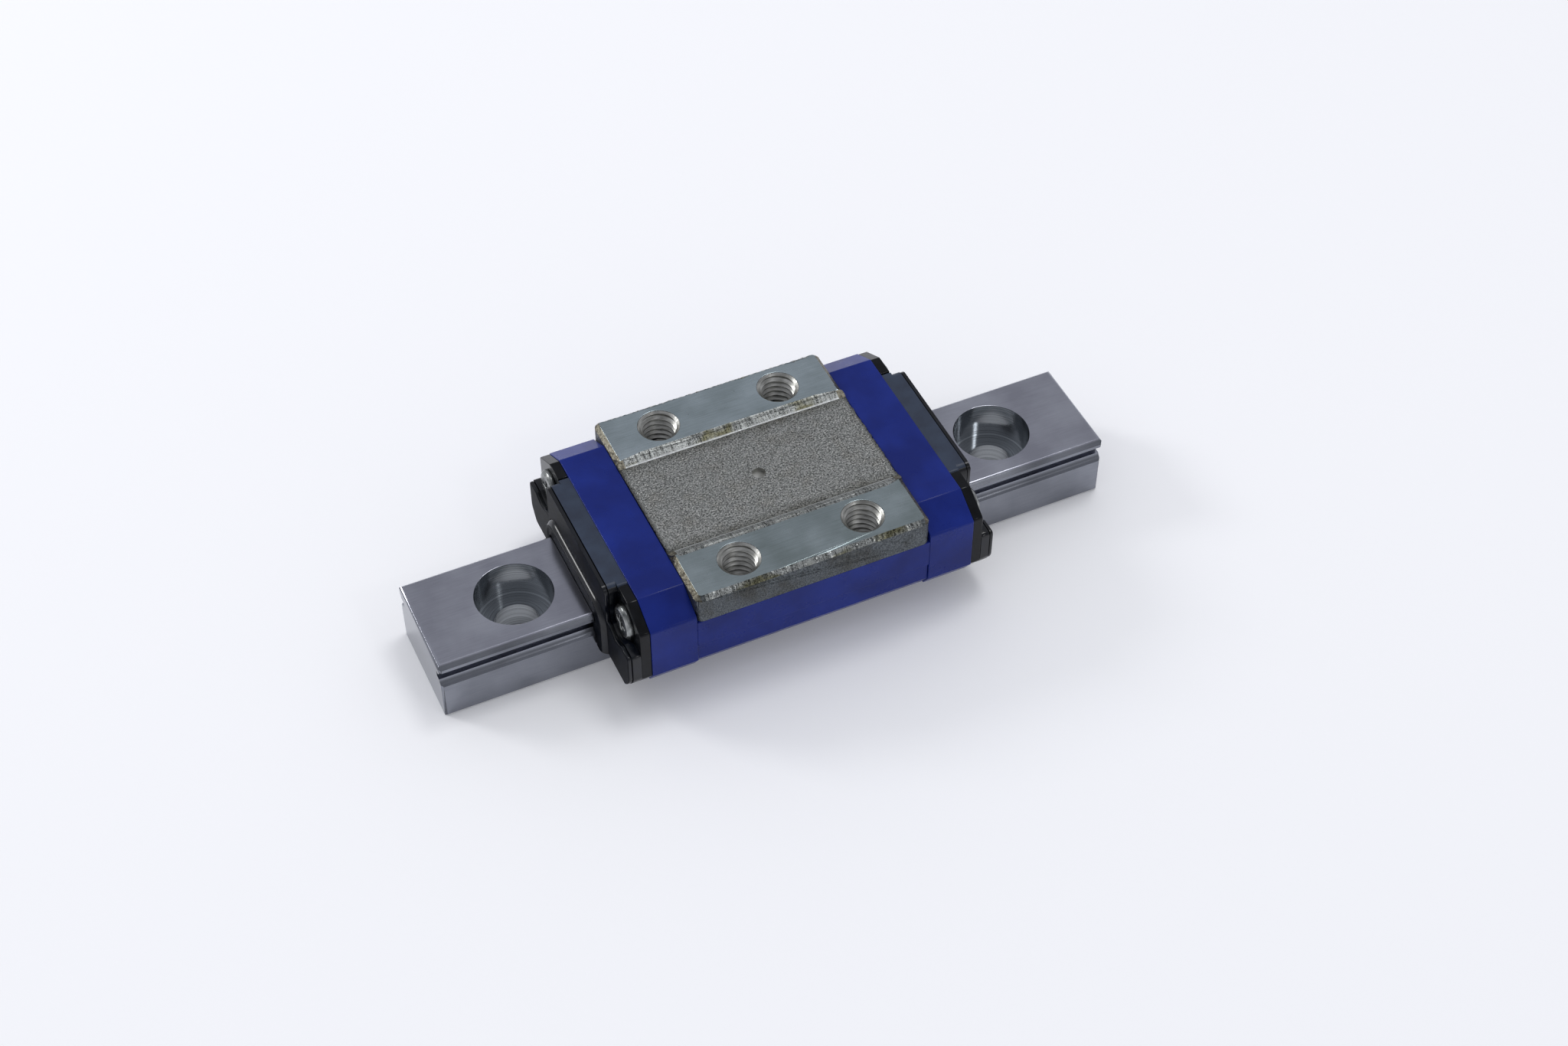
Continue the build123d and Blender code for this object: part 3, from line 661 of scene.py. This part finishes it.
def nickEndEdges(piece):
    k, b = nickShape, blockShape
    for side in (-1, 1):
        cut(piece, lambda c, n: c.z > b["edgeFoot"] and abs(c.x) > k["endEdge"] and 0.03 < n.z < 0.998
            and abs(c.y) < k["half"], (0, side * k["reach"], 0), (0, 1, 0))

    def longEdge(a, c):
        return same(abs(a.y), k["reach"]) and same(a.y, -c.y) and same(a.x, c.x) \
            and abs(a.x) > k["endEdge"] - 0.03 and a.z > b["edgeFoot"]

    divide(piece, k["cuts"], longEdge)
    for vertex in piece.data.vertices:
        p = vertex.co / mm
        if abs(p.y) > k["reach"] - 0.01 or abs(p.x) < k["endEdge"] or p.z < k["foot"]:
            continue
        side = 1 if p.x > 0 else -1
        rough = max(0.0, uneven(p, k["pattern"]) + 0.25)
        p.x -= side * k["depth"] * rough
        if p.z < b["recessFloor"] - 0.004:
            p.z -= 0.05 * rough
        vertex.co = p * mm


block = copyNode("slider_body", "sliderBlock")
for holeX, holeY in holes:
    openBore(block, holeX, holeY)
for side in (-1, 1):  # the flat faces are cut so that each edge to be rounded ends cleanly
    for place, normal in (((side, 0, 0), (1, 0, 0)), ((0, side * nickShape["reach"], 0), (0, 1, 0))):
        cut(block, lambda c, n: abs(c.z - blockShape["recessFloor"]) < 0.01 and abs(c.y) < 5, place, normal)
    for reach in blockShape["endRounding"]:
        cut(block, lambda c, n: c.z > blockShape["edgeFoot"] and abs(c.x) > blockShape["endRim"]
            and 0.6 < n.z < 0.8, (0, side * reach, 0), (0, 1, 0))
roundEdges(block, blockShape["edge"], 2, lambda a, b: min(abs(a.x), abs(b.x)) > 9.09 and abs(a.z - b.z) < 0.01
           and a.z > 9.64 and (max(abs(a.y), abs(b.y)) < nickShape["reach"] + 0.01
                               or blockShape["endRounding"][0] - 0.01 < min(abs(a.y), abs(b.y))
                               and max(abs(a.y), abs(b.y)) < blockShape["endRounding"][1] + 0.01))
roundEdges(block, blockShape["rim"], 2, lambda a, b: min(a.z, b.z) > blockShape["top"] - 0.01 and any(
    abs(math.hypot(a.x - x, a.y - y) - blockShape["mouthRadius"]) < 0.03 for x, y in holes))
tearInnerEdges(block)
ridgeOuterEdges(block)
nickEndEdges(block)


def inTear(c, n):
    return abs(c.x) < tornShape["reach"] and tornShape["stripInner"] < abs(c.y) < tornShape["stripOuter"] \
        and c.z > blockShape["edgeFoot"] and (n.z < 0.9995 or c.z < blockShape["top"] - 0.01)


def inRidges(c, n):
    return abs(c.x) < ridgeShape["reach"] and abs(c.y) > ridgeShape["outer"] and c.z > blockShape["edgeFoot"]


def inRecess(c, n):
    low, high = blockShape["recess"]
    return low < c.z < high and abs(c.y) < blockShape["recessHalf"] \
        and (n.z > 0.3 or abs(c.x) < blockShape["dimple"])


def onEndChamfer(c, n):
    return c.z > blockShape["edgeFoot"] and abs(c.y) > blockShape["recessEdge"] \
        and abs(c.x) > blockShape["endEdge"] and 0.2 < n.z < 0.93


def inBore(c, n):
    low, high = blockShape["bore"]
    return low < c.z < high and min(math.hypot(c.x - x, c.y - y) for x, y in holes) < blockShape["boreReach"]


def inDimple(c, n):
    low, high = blockShape["dimpleDepths"]
    return low < c.z < high and math.hypot(c.x, c.y) < blockShape["dimple"]


smooth(block, flat=lambda c, n: inTear(c, n) or inRidges(c, n))
dress(block, "carriage", ["slider_body"],
      [flankSteel, padSteel, recessSteel, tornSteel, threadSteel, brownSteel, shadedFrontPadSteel])
paintFaces(block, 1, lambda c, n: c.z > blockShape["padFoot"] and n.z > 0.9)
# the near pad wears the darker copy of the ground steel: painted shade
paintFaces(block, 6, lambda c, n: c.z > blockShape["padFoot"] and n.z > 0.9 and c.y < 0)
paintFaces(block, 2, inRecess)
paintFaces(block, 5, onEndChamfer)
paintFaces(block, 3, lambda c, n: inTear(c, n) or inRidges(c, n))
paintFaces(block, 4, lambda c, n: inBore(c, n) or inDimple(c, n))
print("block made")

# M3 threads: the profile of one turn, extruded point by point and wound down the bore
threadShape = {"steps": 40, "rise": [(0, 0.06), (-0.25, 0.19), (0, 0.06), (0.25, 0.19)]}


def tappedThread():
    b = blockShape
    bpy.ops.object.select_all(action="DESELECT")
    bpy.ops.mesh.primitive_plane_add(size=0.1 * mm, location=(b["threadRadius"] * mm, 0,
                                                             (b["threadFoot"] - b["pitch"]) * mm))
    thread = bpy.context.object
    thread.name = "tappedThread1"
    bpy.ops.object.mode_set(mode="EDIT")
    bpy.ops.mesh.select_mode(type="VERT")
    bpy.ops.mesh.select_all(action="SELECT")
    bpy.ops.mesh.merge(type="CENTER")
    for outward, up in threadShape["rise"]:
        bpy.ops.mesh.extrude_vertices_move(TRANSFORM_OT_translate={"value": (outward * mm, 0, up * mm)})
    bpy.ops.object.mode_set(mode="OBJECT")
    bpy.ops.object.transform_apply()
    winder = thread.modifiers.new("wind", "SCREW")
    winder.axis = "Z"
    winder.screw_offset = b["pitch"] * mm
    winder.iterations = int((b["top"] - b["threadFoot"]) / b["pitch"]) + 1
    winder.steps = threadShape["steps"]
    winder.render_steps = threadShape["steps"]
    winder.use_merge_vertices = True
    winder.merge_threshold = 0.001 * mm
    applyModifiers(thread)
    for vertex in thread.data.vertices:  # the countersink cuts the upper turns away
        p = vertex.co / mm
        reach = math.hypot(p.x, p.y)
        height = min(p.z, b["top"] - 0.03)
        cone = b["tapRadius"] + (height - b["threadTop"]) * (b["mouthRadius"] - b["tapRadius"]) \
            / (b["top"] - b["threadTop"])
        wide = max(reach, min(cone, b["mouthRadius"]))
        vertex.co = Vector((p.x * wide / reach, p.y * wide / reach, max(height, b["threadFoot"] - 0.2))) * mm
    onlySelect(thread)
    bpy.ops.object.mode_set(mode="EDIT")
    bpy.ops.mesh.select_all(action="SELECT")
    bpy.ops.mesh.remove_doubles(threshold=0.002 * mm)
    bpy.ops.object.mode_set(mode="OBJECT")
    smooth(thread, 40)
    return thread


firstThread = tappedThread()
for index, (holeX, holeY) in enumerate(holes):
    thread = firstThread
    if index:
        thread = bpy.data.objects.new(f"tappedThread{index + 1}", firstThread.data.copy())
        bpy.context.scene.collection.objects.link(thread)
        thread.data.transform(Matrix.Translation(Vector((holeX - holes[0][0], holeY - holes[0][1], 0)) * mm))
    else:
        thread.data.transform(Matrix.Translation(Vector((holeX, holeY, 0)) * mm))
    dress(thread, "carriage", [], [threadSteel])
print("threads made")

# moulded parts, plates, wires and screws: the CAD shapes with small roundings on their edges
plain = [
    ("side_frame_front", "sideFrameFront", 0.06, "blue_resin", blueResin),
    ("side_frame_rear", "sideFrameRear", 0.06, "blue_resin", blueResin),
    ("end_cap_left", "endCapLeft", 0.06, "blue_resin", blueResin),
    ("end_cap_right", "endCapRight", 0.06, "blue_resin", blueResin),
    ("return_guide_left_front", "turnGuideLeftFront", 0.04, "guide_resin", acetal),
    ("return_guide_left_rear", "turnGuideLeftRear", 0.04, "guide_resin", acetal),
    ("return_guide_right_front", "turnGuideRightFront", 0.04, "guide_resin", acetal),
    ("return_guide_right_rear", "turnGuideRightRear", 0.04, "guide_resin", acetal),
    ("seal_plate_left", "sealPlateLeft", 0.07, "seal_plate_black", plateBlack),
    ("seal_plate_right", "sealPlateRight", 0.07, "seal_plate_black", plateBlack),
    ("cap_screws_left", "capScrewsLeft", 0.05, "screw_steel", screwSteel),
    ("cap_screws_right", "capScrewsRight", 0.05, "screw_steel", screwSteel),
    ("retaining_wire_front", "retainingWireFront", 0.0, "wire_steel", wireSteel),
    ("retaining_wire_rear", "retainingWireRear", 0.0, "wire_steel", wireSteel),
]
for node, name, edge, slotName, material in plain:
    piece = copyNode(node, name)
    if edge:
        roundEdges(piece, edge, 3)
    keepInside(piece, node)
    smooth(piece)
    dress(piece, "carriage", [node], [material])
print("moulded parts made")

# end seals: the lip's face gets a valley between two ridges, its outer crest is rounded broadly,
# all other edges a little; an arch is one step of the lip, with its reach along X, the least
# height of its top and the least half width of its sides
sealShape = {"arches": ((15.4, 6.1, 4.65), (15.0, 6.3, 5.05)), "archFoot": 2.2, "archRound": 0.18,
             "ridge": 0.3, "valley": 0.16, "corner": 0.3, "cornerHalf": 8.9, "cornerTop": 6.2,
             "rim": 0.1, "rimReach": (14.9, 14.96), "rimHalf": 5.84, "rimFoot": 2.4, "edge": 0.025,
             "hoodEdge": 9.2, "wingHalf": 5.95, "wingTop": 8.6, "shortest": 0.12, "hoodFloor": 9.3,
             "hoodEnd": 14.62, "faceEnd": 14.97, "lipFace": 15.2}
for node, name in (("seal_lip_left", "sealLipLeft"), ("seal_lip_right", "sealLipRight")):
    seal = copyNode(node, name)
    crest = sealShape["arches"][0][0]
    pick(seal, "FACE", lambda c, n: abs(c.x) > crest - 0.01 and abs(n.x) > 0.99)
    bpy.ops.mesh.inset(thickness=sealShape["ridge"] * mm, depth=-sealShape["valley"] * mm)
    bpy.ops.object.mode_set(mode="OBJECT")
    for reach, low, out in sealShape["arches"]:
        roundEdges(seal, sealShape["archRound"], 4, lambda a, b: abs(abs(a.x) - reach) < 0.01
                   and abs(abs(b.x) - reach) < 0.01 and min(a.z, b.z) > sealShape["archFoot"]
                   and (min(a.z, b.z) > low or min(abs(a.y), abs(b.y)) > out), 15)
    roundEdges(seal, sealShape["corner"], 3, lambda a, b: abs(abs(a.x) - abs(b.x)) > 0.1
               and min(abs(a.y), abs(b.y)) > sealShape["cornerHalf"]
               and max(a.z, b.z) < sealShape["cornerTop"])
    roundEdges(seal, sealShape["rim"], 2, lambda a, b: min(abs(a.x), abs(b.x)) > sealShape["rimReach"][0]
               and max(abs(a.x), abs(b.x)) < sealShape["rimReach"][1]
               and max(abs(a.y), abs(b.y)) > sealShape["rimHalf"] and min(a.z, b.z) > sealShape["rimFoot"])
    roundEdges(seal, sealShape["edge"], 2, lambda a, b: min(a.z, b.z) > sealShape["hoodEdge"]
               and (a - b).length > 1 or (a - b).length > sealShape["shortest"]
               and min(abs(a.y), abs(b.y)) > sealShape["wingHalf"] and max(a.z, b.z) < sealShape["wingTop"])
    keepInside(seal, node)
    smooth(seal, 40)
    dress(seal, "carriage", [node], [wetRubber, hoodRubber, faceRubber])
    paintFaces(seal, 2, lambda c, n: abs(c.x) < sealShape["faceEnd"] and abs(n.x) > 0.5
               or abs(c.x) > sealShape["lipFace"] and abs(n.x) > 0.85)
    paintFaces(seal, 1, lambda c, n: c.z > sealShape["hoodFloor"] and abs(c.x) < sealShape["hoodEnd"])
print("seals made")

# balls: each CAD stand-in gives the place of one true ball, and all are copies of the first
ballShape = {"diameter": 1.588, "segments": 18, "rings": 12}


def roundBalls(node, name):
    source = copyNode(node, "ballPlaces")
    onlySelect(source)
    bpy.ops.object.mode_set(mode="EDIT")
    bpy.ops.mesh.select_all(action="SELECT")
    bpy.ops.mesh.separate(type="LOOSE")
    bpy.ops.object.mode_set(mode="OBJECT")
    places = []
    for standIn in list(bpy.context.selected_objects):
        corners = [v.co for v in standIn.data.vertices]
        places.append(sum(corners, Vector()) / len(corners))
        bpy.data.objects.remove(standIn)
    places.sort(key=lambda p: (round(p.x, 6), round(p.y, 6)))
    bpy.ops.object.select_all(action="DESELECT")
    bpy.ops.mesh.primitive_uv_sphere_add(segments=ballShape["segments"], ring_count=ballShape["rings"],
                                         radius=ballShape["diameter"] / 2 * mm, location=places[0])
    first = bpy.context.object
    for place in places[1:]:
        ball = bpy.data.objects.new("ball", first.data.copy())
        ball.location = place
        bpy.context.scene.collection.objects.link(ball)
        ball.select_set(True)
    bpy.ops.object.join()
    bpy.ops.object.transform_apply()
    row = bpy.context.object
    row.name = name
    bpy.ops.object.shade_smooth()
    dress(row, "carriage", [node], [ballSteel])


roundBalls("balls_front", "ballsFront")
roundBalls("balls_rear", "ballsRear")
print("balls made")

# studio: pale floor, soft sky that is dimmer in front, three soft lamps as (place, width, watts) in metres
studio = {"floor": "#F8F8FA", "floorGlow": 0.09, "floorSize": 6, "skyOnMatt": 1.45, "frontSky": 0.68,
          "keyLamp": ((0.13, 0.06, 0.43), 0.14, 0.32), "rimLamp": ((-0.29, 0.281, 0.221), 0.12, 0.46),
          "frontLamp": ((0.129, -0.313, 0.308), 0.06, 0.06)}


def studioFloor():
    bpy.ops.object.select_all(action="DESELECT")
    bpy.ops.mesh.primitive_plane_add(size=studio["floorSize"], location=(0, 0, -0.01 * mm))
    floor = bpy.context.object
    floor.name = "studioFloor"
    material = bpy.data.materials.new("paleFloor")
    material.use_nodes = True
    tree = material.node_tree
    tree.nodes.clear()
    path = addNode(tree, "ShaderNodeLightPath")
    seen = addNode(tree, "ShaderNodeMath", {"operation": "MAXIMUM"},
                   {0: path.outputs["Is Camera Ray"], 1: path.outputs["Is Glossy Ray"]})
    glow = addNode(tree, "ShaderNodeMath", {"operation": "MULTIPLY", 1: studio["floorGlow"]},
                   {0: seen.outputs[0]})
    matt = addNode(tree, "ShaderNodeBsdfDiffuse", {"Color": hexColor(studio["floor"])})
    light = addNode(tree, "ShaderNodeEmission", {}, {"Strength": glow.outputs[0]})
    both = addNode(tree, "ShaderNodeAddShader", {}, {0: matt.outputs[0], 1: light.outputs[0]})
    addNode(tree, "ShaderNodeOutputMaterial", {}, {"Surface": both.outputs[0]})
    floor.data.materials.append(material)


def studioSky():
    world = bpy.data.worlds.new("softSky")
    world.use_nodes = True
    bpy.context.scene.world = world
    tree = world.node_tree
    tree.nodes.clear()
    direction = addNode(tree, "ShaderNodeTexCoord")
    axes = addNode(tree, "ShaderNodeSeparateXYZ", {}, {0: direction.outputs["Generated"]})
    tones = addNode(tree, "ShaderNodeValToRGB",
                    {"stops": [(0.0, "#DADBDE"), (0.15, "#CECFD3"), (0.35, "#B9BBC0"), (0.8, "#AEB0B6"),
                               (1.0, "#BCBEC4")]},
                    {"Fac": axes.outputs["Z"]})
    front = addNode(tree, "ShaderNodeMapRange", {"From Min": 0.15, "From Max": -0.45},
                    {"Value": axes.outputs["Y"]})
    raised = addNode(tree, "ShaderNodeMapRange", {"From Min": 0.1, "From Max": 0.35},
                     {"Value": axes.outputs["Z"]})
    dim = addNode(tree, "ShaderNodeMath", {"operation": "MULTIPLY"},
                  {0: front.outputs[0], 1: raised.outputs[0]})
    shade = addNode(tree, "ShaderNodeMapRange", {"To Min": 1.0, "To Max": studio["frontSky"]},
                    {"Value": dim.outputs[0]})
    path = addNode(tree, "ShaderNodeLightPath")
    seen = addNode(tree, "ShaderNodeMath", {"operation": "MAXIMUM"},
                   {0: path.outputs["Is Camera Ray"], 1: path.outputs["Is Glossy Ray"]})
    through = addNode(tree, "ShaderNodeMath", {"operation": "MAXIMUM"},
                      {0: seen.outputs[0], 1: path.outputs["Is Transmission Ray"]})
    level = addNode(tree, "ShaderNodeMapRange", {"To Min": studio["skyOnMatt"], "To Max": 1.0},
                    {"Value": through.outputs[0]})
    strength = addNode(tree, "ShaderNodeMath", {"operation": "MULTIPLY"},
                       {0: shade.outputs[0], 1: level.outputs[0]})
    sky = addNode(tree, "ShaderNodeBackground", {}, {"Color": tones.outputs[0],
                                                      "Strength": strength.outputs[0]})
    addNode(tree, "ShaderNodeOutputWorld", {}, {"Surface": sky.outputs[0]})


def areaLamp(name, place, size, power):
    lamp = bpy.data.objects.new(name, bpy.data.lights.new(name, "AREA"))
    bpy.context.scene.collection.objects.link(lamp)
    lamp.data.shape = "DISK"
    lamp.data.size = size
    lamp.data.energy = power
    lamp.location = place
    lamp.rotation_euler = Vector(place).to_track_quat("Z", "Y").to_euler()


studioFloor()
studioSky()
for name in ("keyLamp", "rimLamp", "frontLamp"):
    areaLamp(name, *studio[name])

# camera at the photograph's angle
view = {"azimuth": -24.84, "elevation": 47.36, "distance": 198.53, "target": (1.37, -1.52, 5.0),
        "focal": 3400, "width": 2048, "sensor": 36}
camera = bpy.data.objects.new("photoCamera", bpy.data.cameras.new("photoCamera"))
bpy.context.scene.collection.objects.link(camera)
turn, rise = math.radians(view["azimuth"]), math.radians(view["elevation"])
back = Vector((math.sin(turn) * math.cos(rise), -math.cos(turn) * math.cos(rise), math.sin(rise)))
camera.location = (Vector(view["target"]) + back * view["distance"]) * mm
camera.rotation_euler = (-back).to_track_quat("-Z", "Y").to_euler()
camera.data.sensor_width = view["sensor"]
camera.data.lens = view["focal"] / view["width"] * view["sensor"]
camera.data.clip_start = 0.005
camera.data.clip_end = 20
bpy.context.scene.camera = camera

bpy.context.view_layer.update()
print("scene made")
